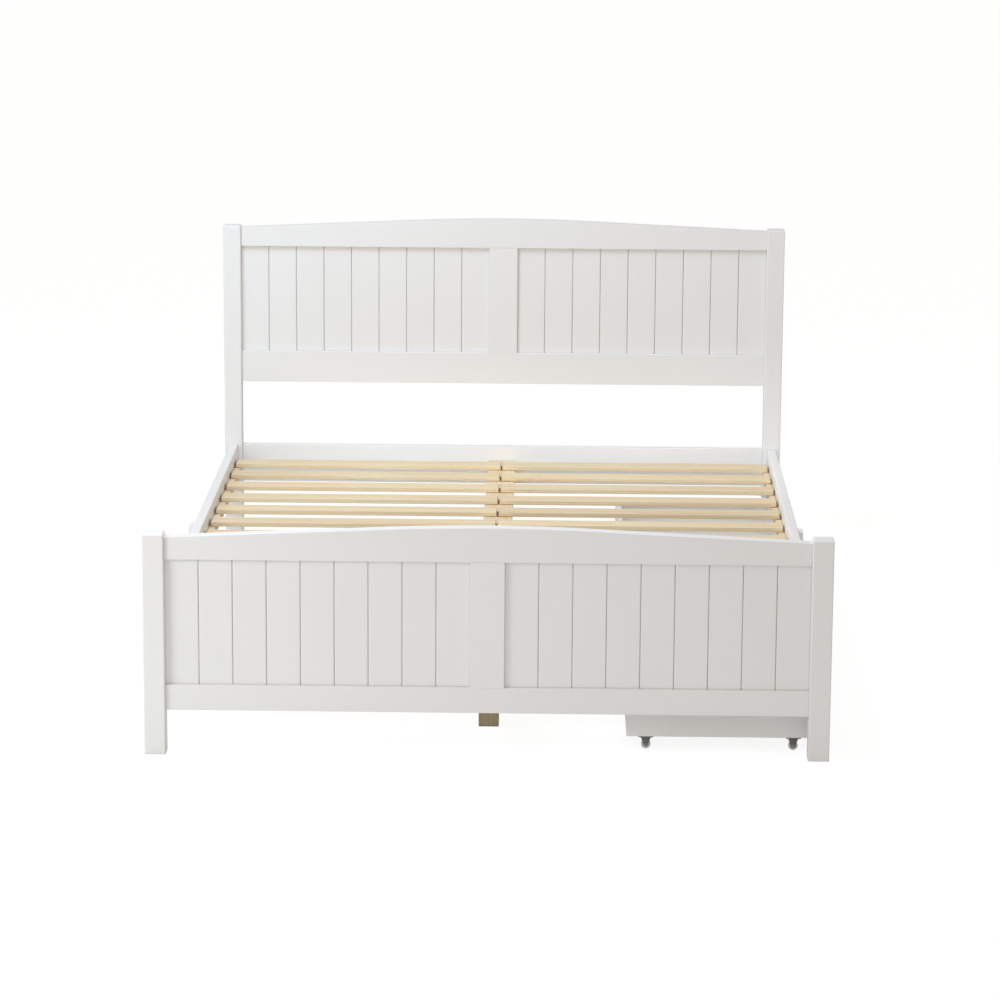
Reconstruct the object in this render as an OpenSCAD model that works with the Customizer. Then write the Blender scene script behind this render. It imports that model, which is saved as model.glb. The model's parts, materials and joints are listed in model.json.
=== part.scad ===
// Painted pine double bed frame with two castered under-bed drawers.
// Frame of reference: origin on the floor under the middle of the bed,
// X across the bed, Y from foot to head, Z up. All sizes in millimetres.

/* [Overall] */
// Width across the outer faces of the posts
bed_width = 1450; // [1300:5:1650]
// Length from the front of the foot posts to the back of the head posts
bed_length = 1982; // [1900:2:2100]
// Side of the square corner posts
post_size = 45; // [42:1:55]
// Height of the two head posts
head_post_height = 858; // [800:1:1000]
// Height of the two foot posts
foot_post_height = 478; // [450:1:560]

/* [End boards] */
// Thickness of the rails and stiles of both end boards
board_thickness = 30; // [26:1:32]
// Step from the post face back to the rail face
rail_recess = 10; // [6:1:12]
// Rise of the arched top edge from post to middle
crown_rise = 26; // [10:1:40]
// Half-width of the rounded middle of the arch
crown_round = 220; // [80:10:400]
// Width of the middle stile
stile_width = 73; // [60:1:90]
// Number of planks on each side of the stile
planks_per_side = 9; // [6:1:12]
// Thickness of a plank
plank_thickness = 10; // [8:1:12]
// Bevel along the edges of a plank
plank_bevel = 1.8; // [1:0.1:3]
// Underside of the foot board's bottom rail
foot_bottom_rail_z = 95; // [70:1:110]
// Height of the foot board's bottom rail
foot_bottom_rail_height = 55; // [45:1:75]
// Underside of the foot board's top rail
foot_top_rail_z = 421.5; // [390:0.5:430]
// Height of the foot board's top rail beside the posts
foot_top_rail_end = 48; // [40:1:52]
// Underside of the head board's bottom rail
head_bottom_rail_z = 449; // [400:1:480]
// Height of the head board's bottom rail
head_bottom_rail_height = 81; // [60:1:100]
// Underside of the head board's top rail
head_top_rail_z = 804.5; // [750:0.5:808]
// Height of the head board's top rail beside the posts
head_top_rail_end = 48; // [40:1:50]

/* [Side rails and slats] */
// Underside of the side rails
side_rail_z = 184; // [180:1:190]
// Height of the side rails and of the head cross rail
side_rail_height = 98; // [90:1:105]
// Thickness of the side rails and of the head cross rail
side_rail_thickness = 22; // [20:1:22]
// Step from the post's outer face in to the side rail
side_rail_inset = 11.5; // [11.5:0.5:13]
// Width of the ledger strip that carries the slat ends
ledger_width = 16; // [14:1:20]
// Height of the ledger strip
ledger_height = 22; // [18:1:25]
// Top of the ledgers and of the centre beam
ledger_top_z = 244; // [240:1:246]
// Number of slat rows
slat_rows = 13; // [11:1:14]
// Width of one slat
slat_width = 60; // [50:1:70]
// Thickness of one slat
slat_thickness = 11; // [9:1:15]
// Spacing of the slat rows
slat_pitch = 139.5; // [135:0.5:141]
// Gap between a slat's end and the side rail
slat_end_gap = 5; // [3:0.5:6]
// Gap between the two slats of a row over the centre beam
slat_middle_gap = 5; // [3:1:12]

/* [Legs] */
// Width of the centre beam
beam_width = 70; // [60:1:80]
// Thickness of the centre beam
beam_thickness = 25; // [22:1:27]
// Side of the square centre legs
centre_leg_size = 44; // [35:1:45]
// Distance of the outer centre legs from the middle leg
centre_leg_spread = 724; // [600:4:760]
// Thickness of the middle leg's cheek outside the side rail
mid_leg_cheek = 11; // [10:0.5:12]

/* [Drawers] */
// Distance of a drawer's inner end from the middle of the bed
drawer_inner_x = 297; // [240:1:340]
// Underside of the drawer walls, which is also the caster height
drawer_floor_gap = 30; // [28:1:34]
// Height of the drawer walls
drawer_wall_height = 120; // [90:1:125]
// Thickness of the drawer walls
drawer_wall = 15; // [12:1:18]
// Thickness of the drawer front
drawer_front_thickness = 18; // [16:1:20]
// Height of the drawer front
drawer_front_height = 150; // [130:1:150]
// Gap on each side of a drawer front
drawer_front_gap = 3; // [2:0.5:5]
// Gap between a drawer wall and the post or leg beside it
drawer_side_gap = 29; // [20:1:40]
// Width of the hand grip cut into a drawer front
grip_width = 130; // [90:5:180]
// Diameter of a caster wheel
wheel_diameter = 20; // [18:1:22]
// Width of a caster wheel
wheel_width = 7; // [5:0.5:9]

/* [Hidden] */
$fn = 48;
white_paint = [0.92, 0.92, 0.91];
raw_pine = [0.87, 0.78, 0.62];
drawer_board = [0.80, 0.79, 0.77];
zinc = [0.70, 0.71, 0.73];
caster_grey = [0.36, 0.37, 0.39];
wheel_grey = [0.80, 0.81, 0.82];

// Posts and end boards
half_width = bed_width / 2;
foot_front_y = -bed_length / 2;
head_front_y = bed_length / 2 - post_size;
post_round = 3;
post_chamfer = 3;
inner_half = half_width - post_size;
fit_gap = 0.2;
tenon_thickness = 12;
tenon_length = 28;
tenon_shoulder = 8;
tenon_inset_y = (board_thickness - tenon_thickness) / 2;
plank_setback = 9;
groove_depth = 8;
plank_entry = 7;
stub_length = 20;
crown_steps = 11;
panel_width = inner_half - stile_width / 2;
plank_pitch = panel_width / planks_per_side;
plank_gap = 0.6;
tongue_thickness = 4;
tongue_length = 5;
foot_panel_z = foot_bottom_rail_z + foot_bottom_rail_height;
head_panel_z = head_bottom_rail_z + head_bottom_rail_height;

// Side rails, ledgers and their fittings
rail_outer_x = half_width - side_rail_inset;
rail_inner_x = rail_outer_x - side_rail_thickness;
rail_middle_x = (rail_outer_x + rail_inner_x) / 2;
rail_half_length = head_front_y;
rail_top_z = side_rail_z + side_rail_height;
rail_middle_z = side_rail_z + side_rail_height / 2;
cross_tenon_length = 14;
cross_tenon_thickness = 12;
cross_rail_y = head_front_y + rail_recess;
bolt_diameter = 8;
bolt_length = 75;
bolt_in_post = 32;
pocket_diameter = 30;
pocket_depth = 18;
pocket_from_end = 36;
washer_thickness = 6;
washer_width = 12.6;
washer_radius = pocket_diameter / 2 - 0.1;
nut_height = 6.5;
nut_across = 13;
dowel_diameter = 8;
dowel_length = 40;
dowel_spread = 30;
ledger_inner_x = rail_inner_x - ledger_width;
ledger_half_length = rail_half_length - 53;
ledger_bottom_z = ledger_top_z - ledger_height;
ledger_screw_count = 6;

// Slats
slat_outer_x = rail_inner_x - slat_end_gap;
slat_inner_x = slat_middle_gap / 2;
slat_length = slat_outer_x - slat_inner_x;
slat_first_y = foot_front_y + 148;
pin_diameter = 5;
pin_length = 16;
pin_in_slat = 6;
pin_from_end = 5.5;
pin_outer_x = slat_outer_x - pin_from_end;
pin_inner_x = 18;

// Centre beam, angles and legs
foot_board_back_y = foot_front_y + rail_recess + board_thickness;
beam_bottom_z = ledger_top_z - beam_thickness;
angle_leg = 28;
angle_width = 60;
angle_thickness = 2.5;
angle_screw_spread = 18;
leg_bolt_length = 60;
leg_bolt_head = 20;
leg_positions = [-centre_leg_spread, 0, centre_leg_spread];
mid_leg_outer_x = rail_outer_x + mid_leg_cheek;
mid_leg_top_z = rail_top_z - 3;

// Screws
screw_shank = 4;
screw_head = 8;
screw_head_height = 2.6;
ledger_screw_length = 30;
angle_screw_length = 22;
mid_leg_screw_length = 31;
caster_screw_length = 12;
caster_screw_shank = 3;
caster_screw_head = 5.6;

// Drawers: the two names and the middle of each opening
opening_half = (head_front_y - post_size / 2) / 2;
opening_middle = opening_half + post_size / 2;
drawer_half = opening_half - drawer_side_gap;
drawer_front_half = opening_half - drawer_front_gap;
drawer_top_z = drawer_floor_gap + drawer_wall_height;
front_inner_x = rail_outer_x - drawer_front_thickness;
drawer_depth = front_inner_x - drawer_inner_x;
bottom_thickness = 6;
bottom_z = drawer_floor_gap + 12;
bottom_entry = 6;
batten_width = 60;
drawer_dowel_diameter = 6;
drawer_dowel_length = 28;
drawer_dowel_entry = 10;
drawer_dowel_z = [drawer_floor_gap + 40, drawer_floor_gap + 95];
grip_depth = 30;
grip_round = 14;
plate_size = 33;
plate_thickness = 2;
fork_cheek = 1.6;
fork_top_width = 22;
fork_end_radius = 4.5;
wheel_side_gap = 0.4;
axle_diameter = 3;
axle_clearance = 0.08;
axle_length = wheel_width + 2 * wheel_side_gap + 2 * fork_cheek + 2;
caster_from_end = 42;
caster_screw_spread = 12;
foot_drawer_y = -opening_middle;
head_drawer_y = opening_middle;

// ---- General shapes ----

// A box given by its low corner and its high corner.
module block(low, high) {
    translate(low) cube(high - low);
}

// A rectangle centred on the origin with true round corners.
module round_rect(w, d, r) {
    square([w - 2 * r, d], center = true);
    square([w, d - 2 * r], center = true);
    for (sx = [-1, 1], sy = [-1, 1])
        translate([sx * (w / 2 - r), sy * (d / 2 - r)]) circle(r = r);
}

// A cylinder whose axis starts at a point and runs along +Y.
module y_cylinder(start, length, diameter) {
    translate(start) rotate([-90, 0, 0]) cylinder(h = length, d = diameter);
}

// A cylinder whose axis starts at a point and runs along X, either way.
module x_cylinder(start, length, diameter, direction = 1) {
    translate(start) rotate([0, 90 * direction, 0]) cylinder(h = length, d = diameter);
}

// A countersunk screw pointing up from the origin, or its hole when gap > 0.
module screw_solid(length, shank, head, gap = 0) {
    cylinder(h = length, d = shank + 2 * gap);
    cylinder(h = screw_head_height, d1 = head + 2 * gap, d2 = shank + 2 * gap);
    if (gap > 0) translate([0, 0, -1]) cylinder(h = 1, d = head + 2 * gap);
}

// ---- Posts ----

// A post outline seen square on, with its top corners chamfered.
module chamfered_elevation(height) {
    h = post_size / 2;
    polygon([[-h, 0], [h, 0], [h, height - post_chamfer], [h - post_chamfer, height],
             [post_chamfer - h, height], [-h, height - post_chamfer]]);
}

// A square post standing on the origin, edges rounded and top chamfered.
module post_body(height) {
    intersection() {
        linear_extrude(height) round_rect(post_size, post_size, post_round);
        rotate([90, 0, 0])
            linear_extrude(post_size, center = true) chamfered_elevation(height);
        rotate([90, 0, 90])
            linear_extrude(post_size, center = true) chamfered_elevation(height);
    }
}

// The mortise for one rail, cut from the post on the left side of the bed.
module mortise(front_y, z_low, z_high, length, thickness, inset) {
    y_low = front_y + rail_recess + inset - fit_gap;
    block([-inner_half - length - 1, y_low, z_low - fit_gap],
          [-inner_half + 1, y_low + thickness + 2 * fit_gap, z_high + fit_gap]);
}

// The groove that takes the edge of the outermost plank.
module post_groove(front_y, z_low, z_high) {
    y_low = front_y + rail_recess + plank_setback - fit_gap;
    block([-inner_half - groove_depth, y_low, z_low],
          [-inner_half + 1, y_low + plank_thickness + 2 * fit_gap, z_high]);
}

// The stud hole and the two dowel holes that hold a side rail's end.
// The inner face of the post looks towards side = 1 at the foot, -1 at the head.
module rail_end_holes(face_y, side) {
    for (hole = [[0, bolt_diameter, bolt_in_post],
                 [-dowel_spread, dowel_diameter, dowel_length / 2],
                 [dowel_spread, dowel_diameter, dowel_length / 2]])
        translate([-rail_middle_x, face_y, rail_middle_z + hole[0]])
            rotate([90 * side, 0, 0])
                translate([0, 0, -1]) cylinder(h = hole[2] + 1, d = hole[1] + fit_gap);
}

module head_post() {
    difference() {
        translate([post_size / 2 - half_width, head_front_y + post_size / 2, 0])
            post_body(head_post_height);
        mortise(head_front_y, head_top_rail_z + tenon_shoulder,
                head_top_rail_z + head_top_rail_end - tenon_shoulder,
                tenon_length, tenon_thickness, tenon_inset_y);
        mortise(head_front_y, head_bottom_rail_z + tenon_shoulder,
                head_panel_z - tenon_shoulder, tenon_length, tenon_thickness, tenon_inset_y);
        mortise(head_front_y, side_rail_z + tenon_shoulder, rail_top_z - tenon_shoulder,
                cross_tenon_length, cross_tenon_thickness,
                (side_rail_thickness - cross_tenon_thickness) / 2);
        post_groove(head_front_y, head_panel_z - groove_depth, head_top_rail_z + plank_entry);
        rail_end_holes(head_front_y, -1);
    }
}

module foot_post() {
    difference() {
        translate([post_size / 2 - half_width, foot_front_y + post_size / 2, 0])
            post_body(foot_post_height);
        mortise(foot_front_y, foot_top_rail_z + tenon_shoulder,
                foot_top_rail_z + foot_top_rail_end - tenon_shoulder,
                tenon_length, tenon_thickness, tenon_inset_y);
        mortise(foot_front_y, foot_bottom_rail_z + tenon_shoulder,
                foot_panel_z - tenon_shoulder, tenon_length, tenon_thickness, tenon_inset_y);
        post_groove(foot_front_y, foot_panel_z - groove_depth, foot_top_rail_z + plank_entry);
        rail_end_holes(foot_front_y + post_size, 1);
    }
}

module head_post_left() { color(white_paint) head_post(); }
module head_post_right() { color(white_paint) mirror([1, 0, 0]) head_post(); }
module foot_post_left() { color(white_paint) foot_post(); }
module foot_post_right() { color(white_paint) mirror([1, 0, 0]) foot_post(); }

// ---- Rails and stiles of the end boards ----

// Height of the arched edge above its ends: straight arms and a rounded middle.
function crown(x) =
    let (slope = crown_rise / (inner_half - crown_round / 2))
    abs(x) > crown_round
        ? slope * (inner_half - abs(x))
        : crown_rise - slope * x * x / (2 * crown_round);

// The groove along a rail's edge that takes the plank ends.
module plank_slot(front_y, z_low, z_high) {
    y_low = front_y + rail_recess + plank_setback - fit_gap;
    block([-inner_half - 1, y_low, z_low],
          [inner_half + 1, y_low + plank_thickness + 2 * fit_gap, z_high]);
}

// The mortise in a rail for one end of the stile.
module stile_mortise(front_y, z_low, z_high) {
    y_low = front_y + rail_recess + tenon_inset_y - fit_gap;
    half = stile_width / 2 - tenon_shoulder + fit_gap;
    block([-half, y_low, z_low], [half, y_low + tenon_thickness + 2 * fit_gap, z_high]);
}

// The two end tenons of a rail.
module rail_tenons(front_y, z_low, z_high, length, thickness, inset) {
    y_low = front_y + rail_recess + inset;
    for (side = [-1, 1])
        translate([side * (inner_half + length / 2 - 0.5), y_low + thickness / 2, (z_low + z_high) / 2])
            cube([length + 1, thickness, z_high - z_low], center = true);
}

// An end board's top rail, arched along its upper edge.
module top_rail(front_y, z, end_height) {
    difference() {
        translate([0, front_y + rail_recess + board_thickness, z])
            rotate([90, 0, 0])
                linear_extrude(board_thickness)
                    polygon(concat(
                        [[-inner_half, 0], [inner_half, 0], [inner_half, end_height]],
                        [for (i = [crown_steps : -1 : -crown_steps])
                            let (x = i * crown_round / crown_steps) [x, end_height + crown(x)]],
                        [[-inner_half, end_height]]));
        plank_slot(front_y, z - 1, z + groove_depth);
        stile_mortise(front_y, z - 1, z + stub_length + 1);
    }
    rail_tenons(front_y, z + tenon_shoulder, z + end_height - tenon_shoulder,
                tenon_length, tenon_thickness, tenon_inset_y);
}

// An end board's bottom rail.
module bottom_rail(front_y, z, height) {
    y_low = front_y + rail_recess;
    difference() {
        block([-inner_half, y_low, z], [inner_half, y_low + board_thickness, z + height]);
        plank_slot(front_y, z + height - groove_depth, z + height + 1);
        stile_mortise(front_y, z + height - stub_length - 1, z + height + 1);
    }
    rail_tenons(front_y, z + tenon_shoulder, z + height - tenon_shoulder,
                tenon_length, tenon_thickness, tenon_inset_y);
}

// The stile between the rails, tenoned at both ends and grooved for planks.
module stile(front_y, z_low, z_high) {
    y_low = front_y + rail_recess;
    groove_y = y_low + plank_setback - fit_gap;
    tenon_half = stile_width / 2 - tenon_shoulder;
    difference() {
        block([-stile_width / 2, y_low, z_low], [stile_width / 2, y_low + board_thickness, z_high]);
        for (side = [-1, 1])
            translate([side * (stile_width / 2 - groove_depth / 2 + 0.5),
                       groove_y + plank_thickness / 2 + fit_gap, (z_low + z_high) / 2])
                cube([groove_depth + 1, plank_thickness + 2 * fit_gap, z_high - z_low + 2],
                     center = true);
    }
    block([-tenon_half, y_low + tenon_inset_y, z_low - stub_length],
          [tenon_half, y_low + tenon_inset_y + tenon_thickness, z_high + stub_length]);
}

module head_top_rail() {
    color(white_paint) top_rail(head_front_y, head_top_rail_z, head_top_rail_end);
}
module head_bottom_rail() {
    color(white_paint) bottom_rail(head_front_y, head_bottom_rail_z, head_bottom_rail_height);
}
module head_stile() { color(white_paint) stile(head_front_y, head_panel_z, head_top_rail_z); }
module foot_top_rail() {
    color(white_paint) top_rail(foot_front_y, foot_top_rail_z, foot_top_rail_end);
}
module foot_bottom_rail() {
    color(white_paint) bottom_rail(foot_front_y, foot_bottom_rail_z, foot_bottom_rail_height);
}
module foot_stile() {
    color(white_paint)
        difference() {
            stile(foot_front_y, foot_panel_z, foot_top_rail_z);
            angle_screw_set(0.1);
        }
}

// The plain rail across the head of the bed, level with the side rails.
module head_cross_rail() {
    color(white_paint)
        difference() {
            union() {
                block([-inner_half, cross_rail_y, side_rail_z],
                      [inner_half, cross_rail_y + side_rail_thickness, rail_top_z]);
                rail_tenons(head_front_y, side_rail_z + tenon_shoulder,
                            rail_top_z - tenon_shoulder,
                            cross_tenon_length, cross_tenon_thickness,
                            (side_rail_thickness - cross_tenon_thickness) / 2);
            }
            angle_screw_set(0.1);
        }
}

// ---- Tongue-and-groove planks ----

// Plan outline of one plank: the low-x edge is grooved or runs into a frame
// groove, and the high-x edge carries a tongue or runs into a frame groove.
module plank_outline(first, last) {
    t = plank_thickness;
    b = plank_bevel;
    x0 = plank_gap / 2;
    x1 = plank_pitch - plank_gap / 2;
    tongue_low = (t - tongue_thickness) / 2;
    tongue_high = (t + tongue_thickness) / 2;
    difference() {
        union() {
            polygon([[x0 + b, 0], [x1 - b, 0], [x1, b], [x1, t - b], [x1 - b, t],
                     [x0 + b, t], [x0, t - b], [x0, b]]);
            if (first) translate([-plank_entry, 0]) square([plank_entry + plank_pitch / 2, t]);
            if (last) translate([plank_pitch / 2, 0]) square([plank_entry + plank_pitch / 2, t]);
            if (!last)
                translate([x1 - 1, tongue_low]) square([1 + tongue_length, tongue_high - tongue_low]);
        }
        if (!first)
            translate([x0 - 1, tongue_low - fit_gap])
                square([tongue_length + 1 + fit_gap, tongue_high - tongue_low + 2 * fit_gap]);
    }
}

// One side's planks, from low x to high x.
module plank_row(front_y, x_start, z_low, z_high) {
    for (i = [0 : planks_per_side - 1])
        translate([x_start + i * plank_pitch, front_y + rail_recess + plank_setback,
                   z_low - groove_depth])
            linear_extrude(z_high - z_low + groove_depth + plank_entry)
                plank_outline(i == 0, i == planks_per_side - 1);
}

module head_planks_left() {
    color(white_paint) plank_row(head_front_y, -inner_half, head_panel_z, head_top_rail_z);
}
module head_planks_right() {
    color(white_paint) plank_row(head_front_y, stile_width / 2, head_panel_z, head_top_rail_z);
}
module foot_planks_left() {
    color(white_paint) plank_row(foot_front_y, -inner_half, foot_panel_z, foot_top_rail_z);
}
module foot_planks_right() {
    color(white_paint) plank_row(foot_front_y, stile_width / 2, foot_panel_z, foot_top_rail_z);
}

// ---- Side rails and ledgers ----

// Places of the screws along a ledger, each in the gap between two slats.
function ledger_screw_y(i) =
    slat_first_y - (slat_pitch - slat_width) / 2 + (2 * i + 1) * slat_pitch;

// One end of the left side rail at the low-y end: pocket, stud hole, dowel holes.
module rail_end_cuts() {
    end_y = -rail_half_length;
    x_cylinder([-rail_inner_x + 1, end_y + pocket_from_end, rail_middle_z],
               pocket_depth + 1, pocket_diameter, -1);
    y_cylinder([-rail_middle_x, end_y - 1, rail_middle_z], pocket_from_end, bolt_diameter + 1);
    for (side = [-1, 1])
        y_cylinder([-rail_middle_x, end_y - 1, rail_middle_z + side * dowel_spread],
                   dowel_length / 2 + 2, dowel_diameter + fit_gap);
}

// The left side rail with the holes for its end fittings and its screws.
module side_rail() {
    difference() {
        block([-rail_outer_x, -rail_half_length, side_rail_z],
              [-rail_inner_x, rail_half_length, rail_top_z]);
        rail_end_cuts();
        mirror([0, 1, 0]) rail_end_cuts();
        for (i = [0 : ledger_screw_count - 1])
            translate([-ledger_inner_x, ledger_screw_y(i), (ledger_top_z + ledger_bottom_z) / 2])
                rotate([0, -90, 0])
                    screw_solid(ledger_screw_length, screw_shank, screw_head, 0.1);
        mid_leg_screw_set(0.1);
    }
}

// The two screws that fix a middle leg's cheek from inside the left rail.
module mid_leg_screw_set(gap) {
    for (z = [side_rail_z + 16, rail_top_z - 24])
        translate([-rail_inner_x, 0, z])
            rotate([0, -90, 0]) screw_solid(mid_leg_screw_length, screw_shank, screw_head, gap);
}

// The left ledger, drilled for its screws and for the slat pins.
module slat_ledger() {
    difference() {
        block([-rail_inner_x, -ledger_half_length, ledger_bottom_z],
              [-ledger_inner_x, ledger_half_length, ledger_top_z]);
        for (i = [0 : ledger_screw_count - 1])
            translate([-ledger_inner_x, ledger_screw_y(i), (ledger_top_z + ledger_bottom_z) / 2])
                rotate([0, -90, 0])
                    screw_solid(ledger_screw_length, screw_shank, screw_head, 0.1);
        for (i = [0 : slat_rows - 1])
            slat_pin(-pin_outer_x, i, 0.1);
    }
}

module side_rail_left() { color(white_paint) side_rail(); }
module side_rail_right() { color(white_paint) mirror([1, 0, 0]) side_rail(); }
module slat_ledger_left() { color(raw_pine) slat_ledger(); }
module slat_ledger_right() { color(raw_pine) mirror([1, 0, 0]) slat_ledger(); }

// ---- Slats ----

// Middle of a slat row.
function slat_y(i) = slat_first_y + slat_width / 2 + i * slat_pitch;

// One locating pin, standing in the ledger or the beam and entering a slat.
module slat_pin(x, i, gap = 0) {
    translate([x, slat_y(i), ledger_top_z + pin_in_slat - pin_length])
        cylinder(h = pin_length + gap, d = pin_diameter + 2 * gap);
}

// The slats of one side: side = -1 on the left, 1 on the right.
module slat_set(side) {
    for (i = [0 : slat_rows - 1])
        difference() {
            translate([side * (slat_inner_x + slat_length / 2), slat_y(i),
                       ledger_top_z + slat_thickness / 2])
                cube([slat_length, slat_width, slat_thickness], center = true);
            slat_pin(side * pin_outer_x, i, 0.1);
            slat_pin(side * pin_inner_x, i, 0.1);
        }
}

module slats_left() { color(raw_pine) slat_set(-1); }
module slats_right() { color(raw_pine) slat_set(1); }
module slat_pins() {
    color(raw_pine)
        for (i = [0 : slat_rows - 1], x = [-pin_outer_x, -pin_inner_x, pin_inner_x, pin_outer_x])
            slat_pin(x, i);
}

// ---- Centre beam and legs ----

// A bolt that runs down through the beam into a centre leg.
module leg_bolt(y, gap = 0) {
    translate([0, y, ledger_top_z - leg_bolt_length])
        cylinder(h = leg_bolt_length - 4, d = bolt_diameter + 2 * gap);
    translate([0, y, ledger_top_z - 5 - gap])
        cylinder(h = 4 + (gap > 0 ? 3 : 0), d = leg_bolt_head + 2 * gap);
}

module centre_beam() {
    color(raw_pine)
        difference() {
            block([-beam_width / 2, foot_board_back_y, beam_bottom_z],
                  [beam_width / 2, cross_rail_y, ledger_top_z]);
            for (y = leg_positions) leg_bolt(y, 0.2);
            for (i = [0 : slat_rows - 1], x = [-pin_inner_x, pin_inner_x]) slat_pin(x, i, 0.1);
            angle_screw_set(0.1);
        }
}

module centre_legs() {
    color(raw_pine)
        for (y = leg_positions)
            difference() {
                translate([0, y, 0])
                    linear_extrude(beam_bottom_z) round_rect(centre_leg_size, centre_leg_size, 2);
                leg_bolt(y, 0.1);
            }
}

module leg_bolts() {
    color(zinc) for (y = leg_positions) leg_bolt(y);
}

// One angle under the beam's foot end.
module beam_angle() {
    y = foot_board_back_y;
    difference() {
        union() {
            block([-angle_width / 2, y, beam_bottom_z - angle_leg],
                  [angle_width / 2, y + angle_thickness, beam_bottom_z]);
            block([-angle_width / 2, y, beam_bottom_z - angle_thickness],
                  [angle_width / 2, y + angle_leg, beam_bottom_z]);
        }
        foot_angle_screws(0.1);
    }
}

// The four screws of the foot angle: two up into the beam, two into the stile.
module foot_angle_screws(gap) {
    y = foot_board_back_y;
    for (x = [-angle_screw_spread, angle_screw_spread]) {
        translate([x, y + angle_leg - 8, beam_bottom_z - angle_thickness])
            screw_solid(angle_screw_length, screw_shank, screw_head, gap);
        translate([x, y + angle_thickness, beam_bottom_z - angle_leg + 9])
            rotate([90, 0, 0]) screw_solid(angle_screw_length, screw_shank, screw_head, gap);
    }
}

// Moves a foot-end fitting to the head end of the beam, turned round.
module at_head_end() {
    translate([0, foot_board_back_y + cross_rail_y, 0]) mirror([0, 1, 0]) children();
}

module angle_screw_set(gap) {
    foot_angle_screws(gap);
    at_head_end() foot_angle_screws(gap);
}

module beam_angles() {
    color(zinc) {
        beam_angle();
        at_head_end() beam_angle();
    }
}

// The left middle leg: a full post under the rail, with a cheek up its outside.
module mid_leg() {
    half = post_size / 2;
    difference() {
        union() {
            block([-mid_leg_outer_x, -half, 0], [post_size - mid_leg_outer_x, half, side_rail_z]);
            block([-mid_leg_outer_x, -half, side_rail_z - 1], [-rail_outer_x, half, mid_leg_top_z]);
        }
        mid_leg_screw_set(0.1);
    }
}

module mid_leg_left() { color(white_paint) mid_leg(); }
module mid_leg_right() { color(white_paint) mirror([1, 0, 0]) mid_leg(); }

// ---- Frame hardware ----

// Repeats a fitting of the left rail's foot end at all four rail ends.
module at_rail_ends() {
    for (mx = [0, 1], my = [0, 1])
        mirror([mx, 0, 0]) mirror([0, my, 0]) children();
}

module bed_bolts() {
    color(zinc)
        at_rail_ends()
            y_cylinder([-rail_middle_x, -rail_half_length - bolt_in_post, rail_middle_z],
                       bolt_length, bolt_diameter);
}

// A half-moon washer bearing on its pocket's wall, and the hexagon nut on it.
module half_moon_nut() {
    wall_y = -rail_half_length + pocket_from_end - washer_radius;
    difference() {
        intersection() {
            x_cylinder([-rail_middle_x - washer_width / 2, -rail_half_length + pocket_from_end,
                        rail_middle_z], washer_width, 2 * washer_radius);
            block([-rail_outer_x, wall_y - 1, side_rail_z],
                  [-rail_inner_x, wall_y + washer_thickness, rail_top_z]);
        }
        y_cylinder([-rail_middle_x, wall_y - 2, rail_middle_z],
                   washer_thickness + 4, bolt_diameter + fit_gap);
    }
    difference() {
        translate([-rail_middle_x, wall_y + washer_thickness, rail_middle_z])
            rotate([-90, 0, 0])
                rotate([0, 0, 30]) cylinder(h = nut_height, d = nut_across / cos(30), $fn = 6);
        y_cylinder([-rail_middle_x, wall_y, rail_middle_z],
                   washer_thickness + nut_height + 2, bolt_diameter + fit_gap);
    }
}

module half_moon_nuts() { color(zinc) at_rail_ends() half_moon_nut(); }

module rail_dowels() {
    color(raw_pine)
        at_rail_ends()
            for (side = [-1, 1])
                y_cylinder([-rail_middle_x, -rail_half_length - dowel_length / 2,
                            rail_middle_z + side * dowel_spread],
                           dowel_length, dowel_diameter);
}

// The ledger screws of the left rail.
module ledger_screw_set() {
    for (i = [0 : ledger_screw_count - 1])
        translate([-ledger_inner_x, ledger_screw_y(i), (ledger_top_z + ledger_bottom_z) / 2])
            rotate([0, -90, 0]) screw_solid(ledger_screw_length, screw_shank, screw_head);
}

module wood_screws() {
    color(zinc) {
        angle_screw_set(0);
        for (m = [0, 1])
            mirror([m, 0, 0]) {
                ledger_screw_set();
                mid_leg_screw_set(0);
            }
    }
}

// ---- Drawers ----
// A drawer is drawn round y = 0 and moved to the middle of its opening.

// The rounded hand grip, cut down from the top edge of the front.
module grip_outline() {
    translate([0, -grip_depth / 2]) round_rect(grip_width, grip_depth, grip_round);
    translate([-grip_width / 2, -grip_depth / 2]) square([grip_width, grip_depth]);
}

module drawer_front_body() {
    top = drawer_floor_gap + drawer_front_height;
    difference() {
        block([front_inner_x, -drawer_front_half, drawer_floor_gap], [rail_outer_x, drawer_front_half, top]);
        translate([front_inner_x - 1, 0, top])
            rotate([90, 0, 90]) linear_extrude(drawer_front_thickness + 2) grip_outline();
        bottom_groove();
        drawer_dowel_set(0.1);
    }
}

module drawer_back_body() {
    inner = drawer_half - drawer_wall;
    difference() {
        block([drawer_inner_x, -inner, drawer_floor_gap],
              [drawer_inner_x + drawer_wall, inner, drawer_top_z]);
        bottom_groove();
        drawer_dowel_set(0.1);
    }
}

// The wall at the low-y end of the drawer.
module drawer_side_body() {
    difference() {
        block([drawer_inner_x, -drawer_half, drawer_floor_gap],
              [front_inner_x, drawer_wall - drawer_half, drawer_top_z]);
        bottom_groove();
        drawer_dowel_set(0.1);
        caster_screw_set(0.05);
    }
}

// The groove round the inside of the box that the bottom panel slides into.
module bottom_groove() {
    block([drawer_inner_x + drawer_wall - bottom_entry - fit_gap,
           drawer_wall - drawer_half - bottom_entry - fit_gap, bottom_z - 0.1],
          [front_inner_x + bottom_entry + fit_gap,
           drawer_half - drawer_wall + bottom_entry + fit_gap, bottom_z + bottom_thickness + 0.1]);
}

module drawer_bottom_body() {
    block([drawer_inner_x + drawer_wall - bottom_entry,
           drawer_wall - drawer_half - bottom_entry, bottom_z],
          [front_inner_x + bottom_entry,
           drawer_half - drawer_wall + bottom_entry, bottom_z + bottom_thickness]);
}

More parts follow.
